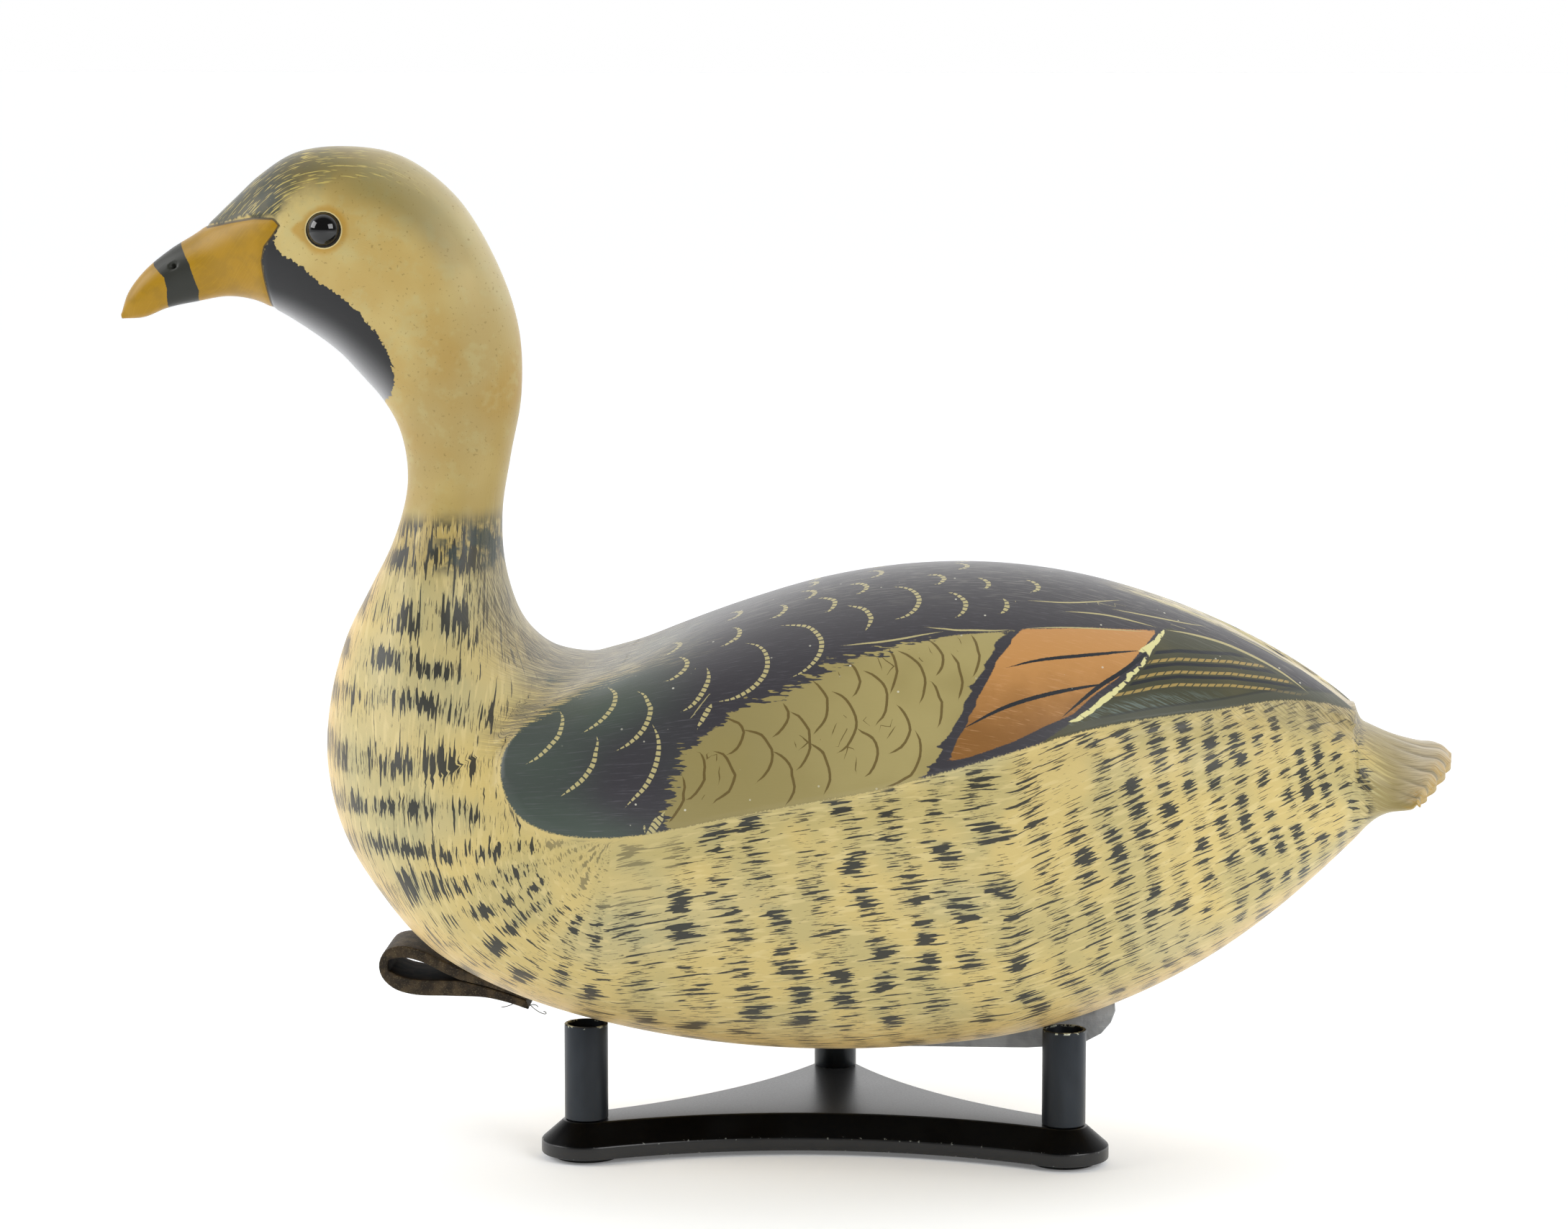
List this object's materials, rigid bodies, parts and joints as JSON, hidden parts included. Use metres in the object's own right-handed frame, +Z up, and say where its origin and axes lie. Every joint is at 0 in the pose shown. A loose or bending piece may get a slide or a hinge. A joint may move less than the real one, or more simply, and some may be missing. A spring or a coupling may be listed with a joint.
{
  "type": "bird decoy on a stand",
  "caption": "Carved and painted long-necked grebe decoy with a keel weight and a leather line loop under it, resting on a low black cradle stand with open tube posts.",
  "frame": {"origin": "on the ground, in the bird's mirror plane, half-way between the bill's tip and the tail's tip", "axes": "-X towards the bill, -Y towards the bird's left side, which the picture shows, +Z up"},
  "size_m": [0.4899, 0.1706, 0.3696],
  "materials": {
    "painted_wood": "hand-painted in tan, olive, slate and ochre under an aged satin varnish",
    "weathered_lead": null,
    "aged_leather": "dry dark brown, worn at the folds",
    "black_glass": "opaque polished black",
    "black_stand_metal": "satin black paint with nicked edges",
    "grey_tube_metal": "satin blue-grey with pale chips at the rim",
    "black_foot_rubber": "matte"
  },
  "bodies": {
    "root": {"carved_bird": "painted_wood", "keel_weight": "weathered_lead", "leather_loop": "aged_leather", "eye_left": "black_glass", "eye_right": "black_glass", "stand_plate": "black_stand_metal", "stand_post_left": "grey_tube_metal", "stand_post_right": "grey_tube_metal", "stand_post_rear": "grey_tube_metal", "stand_foot_left": "black_foot_rubber", "stand_foot_right": "black_foot_rubber", "stand_foot_rear": "black_foot_rubber"}
  },
  "joints": []
}
